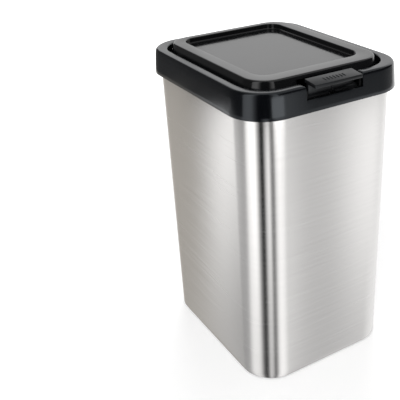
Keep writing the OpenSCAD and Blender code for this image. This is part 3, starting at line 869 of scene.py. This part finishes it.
for node, name, width, material, body, slotName in (
        ("latch_housing", "latchHousing", 0.25, blackFinish, "top", "black_plastic"),
        ("hinge_bracket_left", "hingeBracketLeft", 0.25, blackFinish, "top", "black_plastic"),
        ("hinge_bracket_right", "hingeBracketRight", 0.25, blackFinish, "top", "black_plastic"),
        ("base_tray", "baseTray", 0.4, bucketFinish, "bin_body", "bucket_plastic")):
    dress(softenedNode(node, name, width, material), body, slotName, node)
print("mouldings softened")

pinSize = {"hingeRadius": 1.75, "hingeX": (59.3, 69.4), "hingeHead": 2.85, "headHigh": 1,
           "buttonRadius": 1.5, "buttonHalf": 31.6}
footSize = {"place": (62.5, 80.5), "radius": 9, "grooves": (1.6, 3.6, 5.6), "foot": 2.5, "stem": 3,
            "seat": 7, "top": 8.5}
bumperSize = {"place": (45, -94.2), "radius": 2.5, "stem": 1.2, "top": 315.7}


def makePins(size):
    radius, head = size["hingeRadius"], size["hingeHead"]
    low, high = size["hingeX"]
    points = [(0, low), (radius - 0.5, low), (radius - 0.15, low + 0.15), (radius, low + 0.5), (radius, high),
              (head, high), (head, high + 0.35), (head - 0.15, high + 0.65), (head - 0.7, high + 0.92),
              (0, high + size["headHigh"])]
    for side, name in leftAndRight:
        pin = turned("hingePin" + name.capitalize(), points, (0, *hingeAxis), (side, 0, 0), zincFinish)
        dress(pin, "top", "hardware", "hinge_pin_" + name)
    radius, half = size["buttonRadius"], size["buttonHalf"]
    ends = [(0, -half), (radius - 0.4, -half), (radius, -half + 0.4), (radius, half - 0.4),
            (radius - 0.4, half), (0, half)]
    pin = turned("buttonPin", ends, (0, *buttonAxis), (1, 0, 0), zincFinish)
    dress(pin, "top", "hardware", "button_pin")


def makeFeet(size):
    radius, stem = size["radius"], size["stem"]
    grooves = []
    for r in size["grooves"]:
        grooves += [(r, 0), (r + 0.25, 0.3), (r + 0.75, 0.3), (r + 1, 0)]
    points = [(0, 0)] + grooves + [(radius - 1, 0), (radius - 0.45, 0.12), (radius - 0.1, 0.5), (radius, 1),
                                   (radius, size["foot"] - 0.3), (radius - 0.3, size["foot"]),
                                   (stem, size["foot"]), (stem, size["seat"]), (stem + 1.3, size["seat"]),
                                   (stem + 1.4, size["seat"] + 0.3), (stem + 0.5, size["top"] - 0.2),
                                   (stem, size["top"]), (0, size["top"])]
    for y, end in ((-1, "front"), (1, "back")):
        for x, side in leftAndRight:
            name = f"foot{end.capitalize()}{side.capitalize()}"
            place = (x * size["place"][0], y * size["place"][1], 0)
            foot = turned(name, points, place, (0, 0, 1), rubberFinish)
            dress(foot, "bin_body", "rubber", f"foot_{end}_{side}")


def makeBumpers(size):
    radius, stem = size["radius"], size["stem"]
    low, high = collarParts["shelfZ"]
    top = size["top"]
    points = [(0, low - 0.5), (stem - 0.3, low - 0.5), (stem, low - 0.2), (stem, high), (radius - 0.2, high),
              (radius, high + 0.2), (radius, top - 1)]
    points += [(radius - 1 + math.cos(t), top - 1 + math.sin(t)) for t in arc(5)[1:]] + [(0, top)]
    for x, side in leftAndRight:
        place = (x * size["place"][0], size["place"][1], 0)
        bumper = turned("lidBumper" + side.capitalize(), points, place, (0, 0, 1), rubberFinish)
        dress(bumper, "top", "rubber", "lid_bumper_" + side)


makePins(pinSize)
makeFeet(footSize)
makeBumpers(bumperSize)
print("pins, feet and bumpers made")

screwSize = {"radius": 1.45, "thread": 0.22, "pitch": 0.9, "head": 1.8, "slot": 0.35, "slotDepth": 0.9}


def makeScrew(name, length, headRadius, size):
    radius, head = size["radius"], size["head"]
    points = [(0, -head), (headRadius * 0.55, -head + 0.05), (headRadius * 0.85, -head + 0.3),
              (headRadius, -head + 0.9), (headRadius, 0), (radius - size["thread"], 0)]
    z = 0.8
    while z < length - 1.6:
        points += [(radius - size["thread"], z), (radius, z + size["pitch"] / 2)]
        z += size["pitch"]
    points += [(radius - size["thread"], length - 1.2), (0.4, length - 0.1), (0, length)]
    screw = turned(name, points, (0, 0, 0), (0, 0, 1), zincFinish, 32)
    cut, reach = size["slot"], headRadius * 0.62
    for halfX, halfY in ((reach, cut), (cut, reach)):
        cutter = block("cutter", (-halfX, -halfY, -head - 1), (halfX, halfY, -head + size["slotDepth"]),
                       zincFinish)
        boolean = screw.modifiers.new("drive", "BOOLEAN")
        boolean.operation = "DIFFERENCE"
        boolean.solver = "EXACT"
        boolean.object = cutter
        applyModifiers(screw)
        bpy.data.objects.remove(cutter)
    return screw


def placeScrews(name, node, length, headRadius, place, turn):
    screw = makeScrew(name, length, headRadius, screwSize)
    screw.data.transform(Matrix.Rotation(math.radians(turn), 4, "X"))
    x, y, z = place
    screw.data.transform(Matrix.Translation(Vector((0, y, z)) * mm))
    rowOfCopies(screw, 2, (-x, 0, 0), (2 * x, 0, 0), zincFinish)
    dress(screw, "top", "hardware", node)


placeScrews("latchScrews", "latch_screws", length=9.5, headRadius=2.6, place=(40, -103.56, 310), turn=0)
placeScrews("hingeScrews", "hinge_screws", length=13, headRadius=2.3, place=(64.35, 87.5, 310.3), turn=-90)
print("screws made")

springSize = {
    "lid": {"wire": 0.5, "radius": 2.7, "turns": 3, "start": 64.75, "pitch": 0.9, "centre": hingeAxis},
    "button": {"wire": 0.45, "radius": 2.5, "turns": 3, "start": -0.8, "pitch": 0.81, "centre": buttonAxis},
}


# Torsion spring about a line across the bin, with a straight leg from each end of its coil
def springPath(size, firstEnd, lastEnd, side):
    radius = size["radius"]
    centreY, centreZ = size["centre"]

    def legAngle(end, sense):
        reach = math.hypot(end[0] - centreY, end[1] - centreZ)
        return math.atan2(end[1] - centreZ, end[0] - centreY) + sense * math.acos(radius / reach)

    first = legAngle(firstEnd, side)
    last = legAngle(lastEnd, -side)
    sweep = (last - first) * side
    while sweep > -2 * math.pi * (size["turns"] - 1):
        sweep -= 2 * math.pi
    sweep *= side
    steps = int(abs(sweep) / math.radians(12))
    rise = size["pitch"] * (size["turns"] - 1)
    points = [(size["start"], *firstEnd)]
    for i in range(steps + 1):
        t = first + sweep * i / steps
        points.append((size["start"] + rise * i / steps, centreY + radius * math.cos(t),
                       centreZ + radius * math.sin(t)))
    points.append((size["start"] + rise, *lastEnd))
    return points


lidLeg, wallLeg = (67.8, 327.3), (90, 312.8)
for side, name in leftAndRight:
    path = [(side * x, y, z) for x, y, z in springPath(springSize["lid"], lidLeg, wallLeg, 1)]
    spring = wire("lidSpring" + name.capitalize(), path, springSize["lid"]["wire"] - 0.01, wireFinish)
    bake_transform(spring)
    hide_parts("lid_spring_" + name)
floorLeg, armLeg = (-105.6, 312.45), (-102.75, 319.2)
path = springPath(springSize["button"], floorLeg, armLeg, -1)
spring = wire("buttonSpring", path, springSize["button"]["wire"] - 0.01, darkWireFinish)
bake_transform(spring)
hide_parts("button_spring")
print("springs made")

stageSize = {
    "floor": 6, "floorLift": 0.19, "whiteFrom": 0.5, "whiteAt": 1.7, "skyLevel": 0.5,
    "tentRadius": 0.3, "tentHeights": (-0.9, 1.2),
}


def makeFloor():
    half = stageSize["floor"] / 2
    mesh = bpy.data.meshes.new("floor")
    corners = [(-half, -half, 0), (half, -half, 0), (half, half, 0), (-half, half, 0)]
    mesh.from_pydata(corners, [], [(0, 1, 2, 3)])
    floor = addToScene("floor", mesh)
    floor.visible_glossy = False
    # the camera alone sees the floor a little whiter than the lights make it, and white far off
    material, tree = blankMaterial("floorWhite")
    mesh.materials.append(material)
    seen = addNode(tree, "ShaderNodeLightPath").outputs["Is Camera Ray"]
    where = ownPlace(tree)
    away = addNode(tree, "ShaderNodeVectorMath", {0: where}, operation="LENGTH").outputs["Value"]
    share = mapRange(tree, away, stageSize["whiteFrom"], stageSize["whiteAt"], stageSize["floorLift"], 1.0)
    shader = tree.nodes["Principled BSDF"].inputs
    shader["Base Color"].default_value = (0.92, 0.92, 0.92, 1)
    shader["Roughness"].default_value = 0.8
    shader["Emission Color"].default_value = (1, 1, 1, 1)
    tree.links.new(doMath(tree, "MULTIPLY", seen, share), shader["Emission Strength"])


# White and grey cards stand round the bin. Each stop is a direction, its low level and its high level
tentStops = [
    (0, 1.05, 1.2), (26, 1.1, 1.0), (42, 1.2, 1.13), (74, 1.15, 1.13), (79, 1.1, 0.98), (95, 1.1, 1.15),
    (112, 0.55, 0.6), (131, 0.5, 0.52), (135, 0.75, 0.75), (139, 0.9, 1.5), (142, 0.8, 2.2),
    (146, 0.42, 1.6), (152, 0.45, 0.95), (178, 0.6, 0.65), (187, 1.2, 0.65), (194, 1.35, 1.55),
    (208, 1.15, 2.1), (214, 0.7, 1.9), (219, 0.12, 0.7), (225, 0.02, 0.0), (230, 0.25, 0.0),
    (234, 0.95, 0.9), (240, 0.75, 1.8), (246, 0.1, 0.35), (250, 0.4, 0.2), (256, 1.35, 1.3),
    (262, 1.6, 1.7), (272, 1.45, 1.5), (287, 0.78, 0.85), (295, 0.7, 0.92), (306, 0.85, 1.6),
    (330, 1.2, 1.3),
]
warmCards, warmTint = (112, 131), (1.05, 1.0, 0.92, 1)
# Heights between which the low levels give way to the high ones, then pairs of heights with a factor at each
tentLevels = {"rise": (-0.2, 0.22), "fade": (0.475, 0.58, 2.0, 0.98), "lift": (0.385, 0.445, 1.0, 1.2)}


# Smaller cards in front of them for the collar: directions, heights and level
flags = {
    "sideFlag": ((98, 132), (0.25, 0.8), 0.17),
    "backSideFlag": ((132, 150), (0.232, 0.8), 0.15),
    "bendFlag": ((150, 196), (0.245, 0.8), 0.10),
    "cornerFlag": ((226, 248), (0.25, 0.8), 0.0),
    "cornerCard": ((250, 275), (0.25, 0.32), 3.1),
    "frontFlag": ((286, 345), (0.25, 0.32), 0.4),
    "skirtFlag": ((264, 345), (0.32, 0.5), 0.05),
}


def glowMaterial(name, level):
    material, tree = blankMaterial(name)
    tree.nodes.clear()
    glow = addNode(tree, "ShaderNodeEmission", {"Strength": level})
    addNode(tree, "ShaderNodeOutputMaterial", {"Surface": glow.outputs[0]})
    return material, glow


def tentMaterial():
    material, glow = glowMaterial("studioCards", 1.0)
    tree = material.node_tree
    where = ownPlace(tree)
    across, along, height = addNode(tree, "ShaderNodeSeparateXYZ", {0: where}).outputs
    turn = doMath(tree, "MULTIPLY", doMath(tree, "ARCTAN2", along, across), 1 / (2 * math.pi))
    ramp = addNode(tree, "ShaderNodeValToRGB", {"Fac": doMath(tree, "FRACT", turn)})
    stops = ramp.color_ramp.elements
    for i, (angle, low, high) in enumerate(tentStops):
        stop = stops[i] if i < 2 else stops.new(1)
        stop.position = angle / 360
        stop.color = (low / 2, high / 2, 1 if warmCards[0] <= angle <= warmCards[1] else 0, 1)
    levels = addNode(tree, "ShaderNodeSeparateColor", {0: ramp.outputs["Color"]}).outputs
    rise = mapRange(tree, height, *tentLevels["rise"], interpolation="SMOOTHSTEP")
    mix = addNode(tree, "ShaderNodeMix", {0: rise, 2: levels[0], 3: levels[1]})
    fade = mapRange(tree, height, *tentLevels["fade"], "SMOOTHSTEP")
    lift = mapRange(tree, height, *tentLevels["lift"])
    level = doMath(tree, "MULTIPLY", doMath(tree, "MULTIPLY", mix.outputs[0], fade), lift)
    tree.links.new(level, glow.inputs["Strength"])
    warmth = addNode(tree, "ShaderNodeMix", {0: levels[2], 6: (1, 1, 1, 1), 7: warmTint}, data_type="RGBA")
    tree.links.new(warmth.outputs[2], glow.inputs["Color"])
    return material


def makeCard(name, radius, azimuths, heights, material):
    bm = bmesh.new()
    angles = arc(max(4, round((azimuths[1] - azimuths[0]) / 3)), *azimuths)
    for one, two in zip(angles, angles[1:]):
        corners = [(radius * math.cos(t), radius * math.sin(t), z)
                   for t, z in ((two, heights[0]), (one, heights[0]), (one, heights[1]), (two, heights[1]))]
        bm.faces.new([bm.verts.new(corner) for corner in corners])
    mesh = bpy.data.meshes.new(name)
    bm.to_mesh(mesh)
    bm.free()
    mesh.materials.append(material)
    card = addToScene(name, mesh)
    for ray in ("camera", "diffuse", "transmission", "volume_scatter", "shadow"):
        setattr(card, "visible_" + ray, False)


def makeLight(name, place, aim, size, power):
    data = bpy.data.lights.new(name, "AREA")
    data.shape = "DISK"
    data.size = size
    data.energy = power
    light = addToScene(name, data)
    light.location = place
    light.rotation_euler = (Vector(aim) - Vector(place)).to_track_quat("-Z", "Y").to_euler()
    light.visible_camera = False
    light.visible_glossy = False


def makeWorld():
    world = bpy.data.worlds.new("studio")
    bpy.context.scene.world = world
    world.use_nodes = True
    tree = world.node_tree
    tree.nodes.clear()
    path = addNode(tree, "ShaderNodeLightPath").outputs
    seen = doMath(tree, "MAXIMUM", path["Is Camera Ray"], path["Is Glossy Ray"])
    level = mapRange(tree, seen, 0, 1, stageSize["skyLevel"], 1.0)
    glow = addNode(tree, "ShaderNodeBackground", {"Color": (1, 1, 1, 1), "Strength": level})
    addNode(tree, "ShaderNodeOutputWorld", {"Surface": glow.outputs[0]})


makeFloor()
tentRadius = stageSize["tentRadius"]
makeCard("studioCards", tentRadius, (0, 360), stageSize["tentHeights"], tentMaterial())
for name, (azimuths, heights, level) in flags.items():
    makeCard(name, tentRadius - 0.01, azimuths, heights, glowMaterial(name, level)[0])
makeLight("keyLight", place=(-1.1, -1.2, 1.7), aim=(0, 0, 0.15), size=1.2, power=26)
makeLight("backLight", place=(0.9, 1.3, 1.5), aim=(0, 0, 0.2), size=1.2, power=16)
makeWorld()
bpy.context.scene.view_settings.view_transform = "Standard"
print("stage set")
